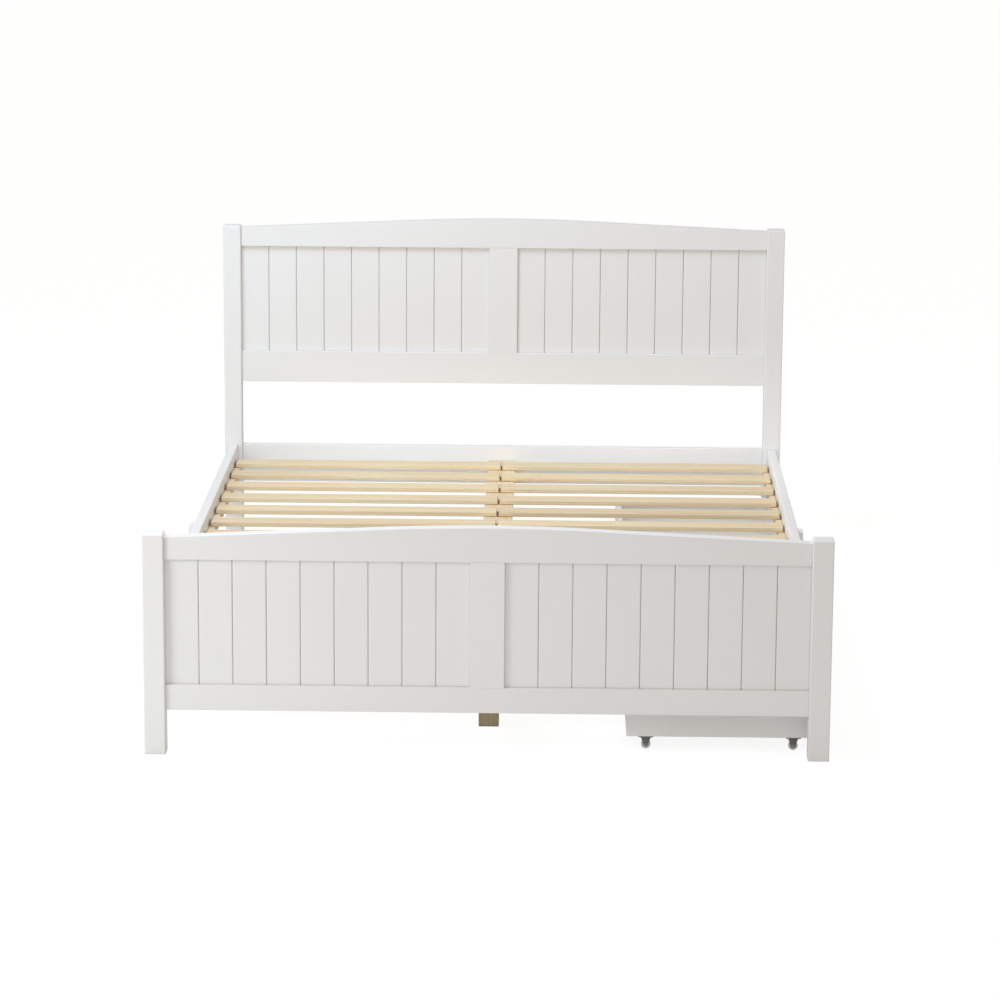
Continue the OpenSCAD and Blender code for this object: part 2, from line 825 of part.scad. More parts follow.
// The two battens under the bottom panel, one along each wall.
module drawer_battens_body() {
    for (m = [0, 1])
        mirror([0, m, 0])
            difference() {
                block([drawer_inner_x + drawer_wall, drawer_wall - drawer_half, drawer_floor_gap],
                      [front_inner_x, drawer_wall - drawer_half + batten_width, bottom_z]);
                caster_screw_set(0.05);
            }
}

// Dowels: two join each wall to the front, two join each wall to the back.
module drawer_dowel_set(gap) {
    for (m = [0, 1], z = drawer_dowel_z)
        mirror([0, m, 0]) {
            x_cylinder([front_inner_x + drawer_dowel_entry - drawer_dowel_length,
                        drawer_wall / 2 - drawer_half, z],
                       drawer_dowel_length, drawer_dowel_diameter + 2 * gap);
            y_cylinder([drawer_inner_x + drawer_wall / 2,
                        drawer_wall - drawer_half - drawer_dowel_entry, z],
                       drawer_dowel_length, drawer_dowel_diameter + 2 * gap);
        }
}

// ---- Casters ----

// The middle of each caster, counted round from the inner low-y corner.
caster_y = drawer_half - plate_size / 2;
caster_places = [
    [drawer_inner_x + caster_from_end, -caster_y],
    [front_inner_x - caster_from_end, -caster_y],
    [front_inner_x - caster_from_end, caster_y],
    [drawer_inner_x + caster_from_end, caster_y]
];
axle_z = wheel_diameter / 2;

// One fixed caster without its wheel: a plate and a fork with two cheeks.
module caster_body() {
    difference() {
        union() {
            translate([0, 0, drawer_floor_gap - plate_thickness])
                linear_extrude(plate_thickness) round_rect(plate_size, plate_size, 4);
            for (side = [-1, 1])
                translate([0, side * (wheel_width / 2 + wheel_side_gap + fork_cheek / 2), 0])
                    rotate([90, 0, 0])
                        linear_extrude(fork_cheek, center = true) fork_outline();
        }
        y_cylinder([0, -plate_size / 2, axle_z], plate_size, axle_diameter + 0.04);
        for (sx = [-1, 1], sy = [-1, 1])
            translate([sx * caster_screw_spread, sy * caster_screw_spread,
                       drawer_floor_gap - plate_thickness])
                screw_solid(caster_screw_length, caster_screw_shank, caster_screw_head, 0.05);
    }
}

// A fork cheek: wide under the plate and round about the axle.
module fork_outline() {
    top_z = drawer_floor_gap - plate_thickness + 0.5;
    translate([0, axle_z]) circle(r = fork_end_radius);
    polygon([[-fork_top_width / 2, top_z], [-fork_top_width / 2, top_z - 3],
             [-fork_end_radius, axle_z], [fork_end_radius, axle_z],
             [fork_top_width / 2, top_z - 3], [fork_top_width / 2, top_z]]);
}

module caster_screw_set(gap) {
    for (place = caster_places, sx = [-1, 1], sy = [-1, 1])
        translate([place[0] + sx * caster_screw_spread, place[1] + sy * caster_screw_spread,
                   drawer_floor_gap - plate_thickness])
            screw_solid(caster_screw_length, caster_screw_shank, caster_screw_head, gap);
}

module drawer_casters_body() {
    for (place = caster_places) translate([place[0], place[1], 0]) caster_body();
}

module drawer_axles_body() {
    for (place = caster_places)
        y_cylinder([place[0], place[1] - axle_length / 2, axle_z], axle_length, axle_diameter);
}

// One wheel, bored to run on its axle, with a rounded tread and a hub.
module wheel_body(index) {
    place = caster_places[index];
    r = wheel_diameter / 2;
    h = wheel_width / 2;
    bore = axle_diameter / 2 + axle_clearance;
    translate([place[0], place[1], axle_z])
        rotate([90, 0, 0])
            rotate_extrude()
                polygon([[bore, -h], [4, -h], [4.6, 0.8 - h], [7, 0.8 - h], [7.6, -h], [r - 1, -h],
                         [r, 1 - h], [r, h - 1], [r - 1, h], [7.6, h], [7, h - 0.8],
                         [4.6, h - 0.8], [4, h], [bore, h]]);
}

// ---- The drawers' nodes ----

module drawer_foot_front() {
    color(white_paint) translate([0, foot_drawer_y, 0]) drawer_front_body();
}
module drawer_foot_back() {
    color(drawer_board) translate([0, foot_drawer_y, 0]) drawer_back_body();
}
module drawer_foot_side_foot() {
    color(drawer_board) translate([0, foot_drawer_y, 0]) drawer_side_body();
}
module drawer_foot_side_head() {
    color(drawer_board) translate([0, foot_drawer_y, 0]) mirror([0, 1, 0]) drawer_side_body();
}
module drawer_foot_bottom() {
    color(drawer_board) translate([0, foot_drawer_y, 0]) drawer_bottom_body();
}
module drawer_foot_battens() {
    color(raw_pine) translate([0, foot_drawer_y, 0]) drawer_battens_body();
}
module drawer_foot_dowels() {
    color(raw_pine) translate([0, foot_drawer_y, 0]) drawer_dowel_set(0);
}
module drawer_foot_casters() {
    color(caster_grey) translate([0, foot_drawer_y, 0]) drawer_casters_body();
}
module drawer_foot_axles() {
    color(zinc) translate([0, foot_drawer_y, 0]) drawer_axles_body();
}
module drawer_foot_screws() {
    color(zinc) translate([0, foot_drawer_y, 0]) caster_screw_set(0);
}
module drawer_foot_wheel(index) {
    color(wheel_grey) translate([0, foot_drawer_y, 0]) wheel_body(index);
}

module drawer_head_front() {
    color(white_paint) translate([0, head_drawer_y, 0]) drawer_front_body();
}
module drawer_head_back() {
    color(drawer_board) translate([0, head_drawer_y, 0]) drawer_back_body();
}
module drawer_head_side_foot() {
    color(drawer_board) translate([0, head_drawer_y, 0]) drawer_side_body();
}
module drawer_head_side_head() {
    color(drawer_board) translate([0, head_drawer_y, 0]) mirror([0, 1, 0]) drawer_side_body();
}
module drawer_head_bottom() {
    color(drawer_board) translate([0, head_drawer_y, 0]) drawer_bottom_body();
}
module drawer_head_battens() {
    color(raw_pine) translate([0, head_drawer_y, 0]) drawer_battens_body();
}
module drawer_head_dowels() {
    color(raw_pine) translate([0, head_drawer_y, 0]) drawer_dowel_set(0);
}
module drawer_head_casters() {
    color(caster_grey) translate([0, head_drawer_y, 0]) drawer_casters_body();
}
module drawer_head_axles() {
    color(zinc) translate([0, head_drawer_y, 0]) drawer_axles_body();
}
module drawer_head_screws() {
    color(zinc) translate([0, head_drawer_y, 0]) caster_screw_set(0);
}
module drawer_head_wheel(index) {
    color(wheel_grey) translate([0, head_drawer_y, 0]) wheel_body(index);
}

head_post_left();
head_post_right();
foot_post_left();
foot_post_right();
head_top_rail();
head_bottom_rail();
head_cross_rail();
head_stile();
head_planks_left();
head_planks_right();
foot_top_rail();
foot_bottom_rail();
foot_stile();
foot_planks_left();
foot_planks_right();
side_rail_left();
side_rail_right();
slat_ledger_left();
slat_ledger_right();
centre_beam();
centre_legs();
mid_leg_left();
mid_leg_right();
slats_left();
slats_right();
slat_pins();
beam_angles();
bed_bolts();
half_moon_nuts();
rail_dowels();
wood_screws();
leg_bolts();
drawer_foot_front();
drawer_foot_back();
drawer_foot_side_foot();
drawer_foot_side_head();
drawer_foot_bottom();
drawer_foot_battens();
drawer_foot_dowels();
drawer_foot_casters();
drawer_foot_axles();
drawer_foot_screws();
drawer_foot_wheel(0);  // drawer_foot_wheel_1
drawer_foot_wheel(1);  // drawer_foot_wheel_2
drawer_foot_wheel(2);  // drawer_foot_wheel_3
drawer_foot_wheel(3);  // drawer_foot_wheel_4
drawer_head_front();
drawer_head_back();
drawer_head_side_foot();
drawer_head_side_head();
drawer_head_bottom();
drawer_head_battens();
drawer_head_dowels();
drawer_head_casters();
drawer_head_axles();
drawer_head_screws();
drawer_head_wheel(0);  // drawer_head_wheel_1
drawer_head_wheel(1);  // drawer_head_wheel_2
drawer_head_wheel(2);  // drawer_head_wheel_3
drawer_head_wheel(3);  // drawer_head_wheel_4
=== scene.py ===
import json
import math
import random

import bmesh
import bpy
from mathutils import Matrix, Vector


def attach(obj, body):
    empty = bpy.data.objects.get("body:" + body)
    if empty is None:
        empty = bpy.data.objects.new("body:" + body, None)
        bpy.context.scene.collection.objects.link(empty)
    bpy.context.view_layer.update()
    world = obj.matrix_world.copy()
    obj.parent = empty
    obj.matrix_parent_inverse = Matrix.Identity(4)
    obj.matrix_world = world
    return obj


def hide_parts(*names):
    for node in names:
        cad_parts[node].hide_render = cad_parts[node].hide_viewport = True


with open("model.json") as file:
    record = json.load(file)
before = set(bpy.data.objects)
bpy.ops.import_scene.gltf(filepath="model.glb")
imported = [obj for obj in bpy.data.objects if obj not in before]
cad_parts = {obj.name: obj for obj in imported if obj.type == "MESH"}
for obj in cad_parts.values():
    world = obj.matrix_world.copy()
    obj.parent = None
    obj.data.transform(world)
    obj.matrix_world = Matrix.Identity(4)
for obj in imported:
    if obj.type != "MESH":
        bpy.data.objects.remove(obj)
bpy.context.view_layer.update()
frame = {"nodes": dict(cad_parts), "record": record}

MM = 0.001


# ---- Node helpers ----


def new_material(name, base_color):
    """A material with a Principled shader; its preview colour is base_color."""
    material = bpy.data.materials.new(name)
    material.use_nodes = True
    material.diffuse_color = (*base_color, 1)
    shader = material.node_tree.nodes["Principled BSDF"]
    shader.inputs["Base Color"].default_value = (*base_color, 1)
    return material, material.node_tree, shader


def add(tree, kind, inputs=None, **properties):
    """A new shader node; an input is linked if it is given a socket, else set."""
    made = tree.nodes.new("ShaderNode" + kind)
    for name, value in properties.items():
        setattr(made, name, value)
    for name, value in (inputs or {}).items():
        if isinstance(value, bpy.types.NodeSocket):
            tree.links.new(value, made.inputs[name])
        else:
            made.inputs[name].default_value = value
    return made


def calc(tree, operation, a, b=0.0):
    return add(tree, "Math", {0: a, 1: b}, operation=operation).outputs[0]


def remap(tree, value, from_low, from_high, to_low, to_high):
    inputs = {"Value": value, "From Min": from_low, "From Max": from_high,
              "To Min": to_low, "To Max": to_high}
    return add(tree, "MapRange", inputs).outputs["Result"]


def mix_colour(tree, factor, a, b, blend="MIX"):
    """Mixes two colours, each a socket or an RGB triple."""
    made = tree.nodes.new("ShaderNodeMix")
    made.data_type, made.blend_type = "RGBA", blend
    for index, value in ((0, factor), (6, a), (7, b)):
        if isinstance(value, bpy.types.NodeSocket):
            tree.links.new(value, made.inputs[index])
        else:
            made.inputs[index].default_value = (*value, 1) if index else value
    return made.outputs[2]


def grey(tree, value):
    return add(tree, "CombineColor", {0: value, 1: value, 2: value}).outputs[0]


def stretched(tree, vector, scale):
    return add(tree, "Mapping", {"Vector": vector, "Scale": scale}).outputs["Vector"]


def noise(tree, vector, scale, detail=2.0, roughness=0.5, distortion=0.0):
    """A noise value; scale is per metre, one number or one for each axis."""
    if not isinstance(scale, (int, float)):
        vector, scale = stretched(tree, vector, scale), 1.0
    inputs = {"Vector": vector, "Scale": scale, "Detail": detail,
              "Roughness": roughness, "Distortion": distortion}
    return add(tree, "TexNoise", inputs).outputs["Fac"]


def attribute(tree, name, output):
    return add(tree, "Attribute", attribute_name=name).outputs[output]


def set_bump(tree, shader, height, distance, strength=1.0, under=None):
    inputs = {"Height": height, "Distance": distance, "Strength": strength}
    if under is not None:
        inputs["Normal"] = under
    made = add(tree, "Bump", inputs).outputs["Normal"]
    tree.links.new(made, shader.inputs["Normal"])
    return made


def edge_mask(tree, radius):
    """0 on flat faces and up to 1 on the corners, from the rounded normal."""
    rounded = add(tree, "Bevel", {"Radius": radius}, samples=4).outputs["Normal"]
    plain = add(tree, "NewGeometry").outputs["Normal"]
    agreement = add(tree, "VectorMath", {0: rounded, 1: plain}, operation="DOT_PRODUCT")
    return remap(tree, agreement.outputs["Value"], 0.97, 0.75, 0.0, 1.0)


def painted_gap_shade_mask(tree, reach, open_share, shut_share):
    """0 in the open and up to 1 deep in narrow gaps, a mask for painted shade there."""
    seen = add(tree, "AmbientOcclusion", {"Distance": reach}, samples=6).outputs["AO"]
    return remap(tree, seen, open_share, shut_share, 0.0, 1.0)


def upward(tree):
    """How far the surface faces up: 1 on a ledge and 0 on a wall."""
    normal = add(tree, "NewGeometry").outputs["Normal"]
    return add(tree, "SeparateXYZ", {0: normal}).outputs["Z"]


# ---- Wood and paint ----

# Spacing of the growth rings, in bare pine and under paint
PINE_RINGS = 3.4 * MM
PAINTED_RINGS = 4.5 * MM

# Colours that multiply a surface's own colour
PINE_BLUSH = (0.95, 0.76, 0.6)
PINE_END_GRAIN = (0.62, 0.5, 0.38)
# The two below are painted shade: they darken narrow gaps and corners, in bare pine and in
# white paint
PINE_PAINTED_GAP_SHADE = (0.3, 0.18, 0.09)
PAINTWORK_PAINTED_SHADE = (0.6, 0.58, 0.55)

SCUFF_COLOUR = (0.62, 0.6, 0.56)


def growth_rings(tree, grain, spacing, waviness):
    """Growth rings around the grain axis, 0 in early wood rising to 1 in late wood."""
    slow = stretched(tree, grain, (0.045, 1, 1))
    inputs = {"Vector": slow, "Scale": 0.314 / spacing, "Distortion": waviness,
              "Detail": 2.0, "Detail Scale": 0.16, "Detail Roughness": 0.5}
    return add(tree, "TexWave", inputs, wave_type="RINGS", rings_direction="X",
               wave_profile="SAW").outputs["Fac"]


def raw_pine(name, early, late, warm):
    """Planed bare pine: rings, fibres, resin streaks, a tint for each board and painted shade
    in narrow gaps.
    """
    material, tree, shader = new_material(name, early)
    grain = attribute(tree, "grain", "Vector")
    tint = attribute(tree, "tint", "Fac")
    rings = growth_rings(tree, grain, PINE_RINGS, 5.0)
    late_wood = remap(tree, rings, 0.45, 0.98, 0.0, 1.0)
    fibres = noise(tree, grain, (18, 1500, 1500), 3.0, 0.65)
    streaks = noise(tree, grain, (2.2, 95, 95), 3.0, 0.55)
    blush = noise(tree, grain, (1.1, 28, 28), 2.0, 0.5)
    colour = mix_colour(tree, calc(tree, "MULTIPLY", late_wood, 0.5), early, late)
    colour = mix_colour(tree, remap(tree, streaks, 0.42, 0.68, 0.0, 0.75), colour, warm)
    colour = mix_colour(tree, remap(tree, blush, 0.4, 0.75, 0.0, 0.4), colour,
                        PINE_BLUSH, "MULTIPLY")
    colour = mix_colour(tree, attribute(tree, "end_grain", "Fac"), colour,
                        PINE_END_GRAIN, "MULTIPLY")
    # For the centre legs the tint is lowered, so this darkening is painted shade
    shade = calc(tree, "ADD", remap(tree, fibres, 0.3, 0.7, 0.85, 0.96),
                 calc(tree, "MULTIPLY", tint, 0.12))
    colour = mix_colour(tree, 1.0, colour, grey(tree, shade), "MULTIPLY")
    # Painted shade: dark brown in narrow gaps, such as at the slat ends and under the slats
    colour = mix_colour(tree, painted_gap_shade_mask(tree, 12 * MM, 0.5, 0.25), colour,
                        PINE_PAINTED_GAP_SHADE, "MULTIPLY")
    tree.links.new(colour, shader.inputs["Base Color"])
    tree.links.new(remap(tree, late_wood, 0, 1, 0.62, 0.5), shader.inputs["Roughness"])
    under = set_bump(tree, shader, fibres, 0.12 * MM, 0.6)
    set_bump(tree, shader, late_wood, 0.1 * MM, 0.5, under)
    shader.inputs["Specular IOR Level"].default_value = 0.35
    return material


def white_paint(name, tone, worn):
    """Satin paint over pine: the grain shows faintly, the outer corners are thin, and inside
    corners and creases are darkened as painted shade.
    """
    material, tree, shader = new_material(name, tone)
    grain = attribute(tree, "grain", "Vector")
    tint = attribute(tree, "tint", "Fac")
    rings = growth_rings(tree, grain, PAINTED_RINGS, 5.0)
    brush = noise(tree, grain, (6, 420, 420), 3.0, 0.6)
    flow = noise(tree, grain, (55, 260, 260), 2.0, 0.5)
    cloud = noise(tree, grain, (2.0, 9, 9), 3.0, 0.5)
    shade = calc(tree, "ADD", remap(tree, cloud, 0.3, 0.7, 0.988, 1.0),
                 remap(tree, tint, 0.0, 1.0, -0.008, 0.0))
    shade = calc(tree, "SUBTRACT", shade, remap(tree, rings, 0.7, 1.0, 0.0, 0.006))
    colour = mix_colour(tree, 1.0, tone, grey(tree, shade), "MULTIPLY")
    # Painted shade: grey in inside corners and creases, fading out on faces that point up
    painted_gap_shade = calc(tree, "MULTIPLY", painted_gap_shade_mask(tree, 3 * MM, 0.92, 0.25),
                   remap(tree, upward(tree), 0.3, 0.8, 1.0, 0.0))
    colour = mix_colour(tree, painted_gap_shade, colour, PAINTWORK_PAINTED_SHADE, "MULTIPLY")
    rubbed = noise(tree, grain, (60, 240, 240), 4.0, 0.7)
    thin = calc(tree, "MULTIPLY", edge_mask(tree, 1.5 * MM),
                remap(tree, rubbed, 0.45, 0.75, 0.0, 0.5))
    colour = mix_colour(tree, thin, colour, worn)
    tree.links.new(colour, shader.inputs["Base Color"])
    gloss = calc(tree, "ADD", remap(tree, flow, 0.3, 0.7, 0.36, 0.46),
                 calc(tree, "MULTIPLY", thin, 0.3))
    tree.links.new(gloss, shader.inputs["Roughness"])
    under = set_bump(tree, shader, rings, 0.06 * MM, 0.5)
    under = set_bump(tree, shader, brush, 0.05 * MM, 0.6, under)
    set_bump(tree, shader, flow, 0.05 * MM, 0.5, under)
    shader.inputs["Specular IOR Level"].default_value = 0.4
    shader.inputs["Coat Weight"].default_value = 0.12
    shader.inputs["Coat Roughness"].default_value = 0.3
    return material


def melamine(name, tone):
    """White-faced board: a fine even pebble and a little scuffing."""
    material, tree, shader = new_material(name, tone)
    grain = attribute(tree, "grain", "Vector")
    pebble = noise(tree, grain, 900, 2.0, 0.5)
    scuff = noise(tree, grain, (30, 300, 300), 4.0, 0.7)
    cloud = noise(tree, grain, 5, 2.0, 0.5)
    colour = mix_colour(tree, remap(tree, cloud, 0.3, 0.7, 0.0, 1.0), tone,
                        tuple(0.965 * c for c in tone))
    colour = mix_colour(tree, remap(tree, scuff, 0.62, 0.8, 0.0, 0.12), colour,
                        SCUFF_COLOUR)
    tree.links.new(colour, shader.inputs["Base Color"])
    tree.links.new(remap(tree, scuff, 0.4, 0.8, 0.38, 0.6), shader.inputs["Roughness"])
    set_bump(tree, shader, pebble, 0.03 * MM, 0.5)
    return material


# ---- Metal and plastic ----


def zinc_plate(name):
    """Bright zinc plating: faint yellow and blue clouds and fine scratches."""
    material, tree, shader = new_material(name, (0.62, 0.63, 0.65))
    place = add(tree, "TexCoord").outputs["Object"]
    cloud = noise(tree, place, 160, 3.0, 0.6)
    speckle = noise(tree, place, 1400, 2.0, 0.6)
    scratch = noise(tree, place, (300, 2600, 2600), 2.0, 0.5)
    colour = mix_colour(tree, remap(tree, cloud, 0.35, 0.65, 0.0, 1.0),
                        (0.6, 0.62, 0.66), (0.68, 0.66, 0.6))
    colour = mix_colour(tree, remap(tree, speckle, 0.6, 0.8, 0.0, 0.4), colour,
                        (0.42, 0.42, 0.42))
    tree.links.new(colour, shader.inputs["Base Color"])
    tree.links.new(remap(tree, scratch, 0.3, 0.7, 0.24, 0.42), shader.inputs["Roughness"])
    set_bump(tree, shader, scratch, 0.02 * MM, 0.4)
    shader.inputs["Metallic"].default_value = 1.0
    return material


def moulded_plastic(name, tone, roughness, subsurface=0.0):
    """Injection-moulded plastic: a spark-eroded texture and slight marbling."""
    material, tree, shader = new_material(name, tone)
    place = add(tree, "TexCoord").outputs["Object"]
    pebble = noise(tree, place, 2600, 2.0, 0.5)
    marble = noise(tree, place, 120, 3.0, 0.5, 1.0)
    colour = mix_colour(tree, remap(tree, marble, 0.3, 0.7, 0.0, 1.0), tone,
                        tuple(0.86 * c for c in tone))
    tree.links.new(colour, shader.inputs["Base Color"])
    tree.links.new(remap(tree, pebble, 0.3, 0.7, roughness - 0.05, roughness + 0.08),
                   shader.inputs["Roughness"])
    set_bump(tree, shader, pebble, 0.03 * MM, 0.5)
    if subsurface:
        shader.inputs["Subsurface Weight"].default_value = subsurface
        shader.inputs["Subsurface Radius"].default_value = (0.004, 0.004, 0.004)
        shader.inputs["Subsurface Scale"].default_value = 1.0
    return material


MATERIALS = {
    "white_paint": white_paint("white_paint", (0.91, 0.91, 0.905), (0.7, 0.6, 0.45)),
    "raw_pine": raw_pine("raw_pine", (0.87, 0.77, 0.55), (0.68, 0.47, 0.25),
                         (0.85, 0.64, 0.37)),
    "drawer_board": melamine("drawer_board", (0.95, 0.94, 0.925)),
    "zinc_steel": zinc_plate("zinc_steel"),
    "caster_plastic": moulded_plastic("caster_plastic", (0.19, 0.19, 0.185), 0.42),
    "wheel_plastic": moulded_plastic("wheel_plastic", (0.8, 0.81, 0.81), 0.3, 0.5),
}

SLOT_OF = {part["node"]: part["material_slot"] for part in frame["record"]["subparts"]}


# ---- Boards ----

# The slack that keeps the edges of mortises and grooves sharp, and the greater one
# that still takes a plank's bevelled face for an outer one
JOINERY_SLACK = 0.1 * MM
PLANK_SLACK = 5 * MM
# Edges shorter than these stay sharp
SHORT_EDGE = 12 * MM
LONG_EDGE = 20 * MM
# The centre legs' pine is painted darker than the rest, as painted shade for their place deep
# under the bed
LEG_PAINTED_SHADE = -3.6
# CAD corners closer than this are one corner, and faces within this distance of one
# plane, or this angle of each other, are one face
WELD = 0.01 * MM
FLATNESS = 0.002 * MM
FLAT_ANGLE = math.radians(0.02)
# Edges that turn by more than this are corners and get eased
CORNER_ANGLE = math.radians(20)
# Shading runs smoothly over edges that turn by less than these
WOOD_SMOOTH_ANGLE = math.radians(40)
STEEL_SMOOTH_ANGLE = math.radians(35)
# A face is end grain if the cosine between its normal and the grain is above this
END_GRAIN_FACING = 0.7

# For each grain direction, the axes along and across the grain and through the board
GRAIN_AXES = {"X": (0, 1, 2), "Y": (1, 0, 2), "Z": (2, 0, 1)}


def join_flat_faces(mesh):
    """Joins neighbours that lie in one plane, however thin they are."""
    for edge in list(mesh.edges):
        if edge.is_valid and len(edge.link_faces) == 2:
            small, large = sorted(edge.link_faces, key=lambda face: face.calc_area())
            level = large.verts[0].co.dot(large.normal)
            if all(abs(v.co.dot(large.normal) - level) < FLATNESS for v in small.verts):
                bmesh.utils.face_join([small, large], True)


def clean_copy(node):
    """A bmesh of a CAD node with shared corners and whole flat faces."""
    mesh = bmesh.new()
    mesh.from_mesh(frame["nodes"][node].data)
    bmesh.ops.remove_doubles(mesh, verts=mesh.verts, dist=WELD)
    for _ in range(2):
        bmesh.ops.dissolve_limit(mesh, angle_limit=FLAT_ANGLE,
                                 verts=mesh.verts, edges=mesh.edges)
        join_flat_faces(mesh)
    return mesh


def islands(mesh):
    """The separate solids of a bmesh, as lists of vertices, in a fixed order."""
    left, found = set(mesh.verts), []
    for start in mesh.verts:
        if start not in left:
            continue
        left.discard(start)
        group, stack = [], [start]
        while stack:
            vert = stack.pop()
            group.append(vert)
            for edge in vert.link_edges:
                other = edge.other_vert(vert)
                if other in left:
                    left.discard(other)
                    stack.append(other)
        found.append(group)
    return found


def outer_faces(mesh, slack):
    """The faces that nothing of their own solid stands out from by more than slack."""
    mesh.normal_update()
    found = set()
    for group in islands(mesh):
        for face in {f for v in group for f in v.link_faces}:
            height = face.verts[0].co.dot(face.normal) + slack
            if all(v.co.dot(face.normal) < height for v in group):
                found.add(face)
    return found


def ease_edges(mesh, radius, segments, shortest, slack=None):
    """Rounds the long corners of a board; with slack, only between its outer faces."""
    kept = set(mesh.faces) if slack is None else outer_faces(mesh, slack)
    edges = [e for e in mesh.edges
             if len(e.link_faces) == 2 and e.calc_length() > shortest
             and e.calc_face_angle_signed() > CORNER_ANGLE
             and kept.issuperset(e.link_faces)]
    bmesh.ops.bevel(mesh, geom=edges, offset=radius, segments=segments, profile=0.5,
                    affect="EDGES", clamp_overlap=False)


def mark_boards(mesh, grain, rng, lightness=0.0):
    """Stores each board's own grain coordinates and tint, and marks its cut ends."""
    grain_layer = mesh.verts.layers.float_vector.new("grain")
    tint_layer = mesh.verts.layers.float.new("tint")
    end_layer = mesh.faces.layers.float.new("end_grain")
    along, across, through = GRAIN_AXES[grain]
    mesh.normal_update()
    for face in mesh.faces:
        face[end_layer] = float(abs(face.normal[along]) > END_GRAIN_FACING)
    for group in islands(mesh):
        middle = sum((v.co for v in group), Vector()) / len(group)
        pith = Vector((rng.uniform(0, 40), rng.uniform(-0.02, 0.02),
                       rng.choice((-1, 1)) * rng.uniform(0.03, 0.08)))
        lean = Vector((rng.uniform(-0.02, 0.02), rng.uniform(-0.02, 0.02)))
        # For the centre legs, lightness lowers the tint as painted shade
        tint = lightness + rng.random()
        for vert in group:
            rel = vert.co - middle
            vert[grain_layer] = Vector((rel[along],
                                        rel[across] + lean[0] * rel[along],
                                        rel[through] + lean[1] * rel[along])) + pith
            vert[tint_layer] = tint


def finish_mesh(mesh, name):
    """An object from a bmesh, smooth over its rounded corners and flat elsewhere."""
    for face in mesh.faces:
        face.smooth = True
    for edge in mesh.edges:
        edge.smooth = (len(edge.link_faces) == 2
                       and edge.calc_face_angle() < WOOD_SMOOTH_ANGLE)
    data = bpy.data.meshes.new(name)
    mesh.to_mesh(data)
    mesh.free()
    made = bpy.data.objects.new(name, data)
    bpy.context.scene.collection.objects.link(made)
    weighted = made.modifiers.new("weighted_normals", "WEIGHTED_NORMAL")
    weighted.keep_sharp = True
    return made


def body_of_node(node):
    for body, members in frame["record"]["behaviour"]["bodies"].items():
        if node in members:
            return body


def stand_for(piece, node):
    """The piece takes the place, the body and the finish of its CAD node."""
    slot = SLOT_OF[node]
    piece.data.materials.append(MATERIALS[slot])
    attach(piece, body_of_node(node))
    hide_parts(node)


def board(node, grain, radius, segments=3, shortest=SHORT_EDGE, slack=None, lightness=0.0):
    """A CAD board with eased edges and its own grain."""
    rng = random.Random(node)
    mesh = clean_copy(node)
    ease_edges(mesh, radius, segments, shortest, slack)
    mark_boards(mesh, grain, rng, lightness)
    stand_for(finish_mesh(mesh, node + "_wood"), node)


for corner in ("head_post_left", "head_post_right", "foot_post_left", "foot_post_right"):
    board(corner, "Z", 1.0 * MM, 2, slack=JOINERY_SLACK)
for end in ("head", "foot"):
    board(end + "_top_rail", "X", 0.9 * MM, slack=JOINERY_SLACK)
    board(end + "_bottom_rail", "X", 0.9 * MM, slack=JOINERY_SLACK)
    board(end + "_stile", "Z", 1.2 * MM, slack=JOINERY_SLACK)
    board(end + "_planks_left", "Z", 0.4 * MM, 2, slack=PLANK_SLACK)
    board(end + "_planks_right", "Z", 0.4 * MM, 2, slack=PLANK_SLACK)
board("head_cross_rail", "X", 2.0 * MM, slack=JOINERY_SLACK)
for side in ("left", "right"):
    board("side_rail_" + side, "Y", 2.5 * MM, shortest=25 * MM)
    board("slat_ledger_" + side, "Y", 0.8 * MM, 2, LONG_EDGE)
    board("mid_leg_" + side, "Z", 1.5 * MM)
    board("slats_" + side, "X", 1.6 * MM)
board("centre_beam", "Y", 1.2 * MM, 2, LONG_EDGE)
# The centre legs get painted shade through their lower lightness
board("centre_legs", "Z", 1.5 * MM, 3, 0, slack=JOINERY_SLACK, lightness=LEG_PAINTED_SHADE)
for drawer in ("drawer_foot", "drawer_head"):
    board(drawer + "_front", "Y", 2.0 * MM)
    board(drawer + "_back", "Y", 0.8 * MM, 2, LONG_EDGE)
    board(drawer + "_side_foot", "X", 0.8 * MM, 2, LONG_EDGE)
    board(drawer + "_side_head", "X", 0.8 * MM, 2, LONG_EDGE)
    board(drawer + "_bottom", "X", 0.4 * MM, 1, LONG_EDGE)
    board(drawer + "_battens", "Y", 1.0 * MM, 2, LONG_EDGE)


# ---- Fittings ----

# The M8 thread of the bed bolts and the leg bolts
BOLT_PITCH = 1.25 * MM
BOLT_THREAD_DEPTH = 0.6 * MM
# The leg bolts' heads and their hexagonal sockets
LEG_BOLT_HEAD = 4 * MM
SOCKET_ACROSS = 5 * MM
SOCKET_DEPTH = 2.6 * MM
# Above this height a profile point lies on the flat of a head
HEAD_FLAT = -0.05 * MM


def turned(mesh, place, profile, segments, shape=None):
    """Adds a body of revolution about local Z to a bmesh.

    The profile runs from the lower pole to the upper one as (radius, height);
    shape(radius, height, angle) may give each point another radius and height.
    """
    rings = []
    for radius, height in profile:
        ring = []
        for i in range(segments if radius else 1):
            angle = 2 * math.pi * i / segments
            r, z = shape(radius, height, angle) if shape else (radius, height)
            point = Vector((r * math.cos(angle), r * math.sin(angle), z))
            ring.append(mesh.verts.new(place @ point))
        rings.append(ring)
    for low, high in zip(rings, rings[1:]):
        for i in range(segments):
            corners = [low[i % len(low)], low[(i + 1) % len(low)],
                       high[(i + 1) % len(high)], high[i % len(high)]]
            mesh.faces.new(list(dict.fromkeys(corners)))


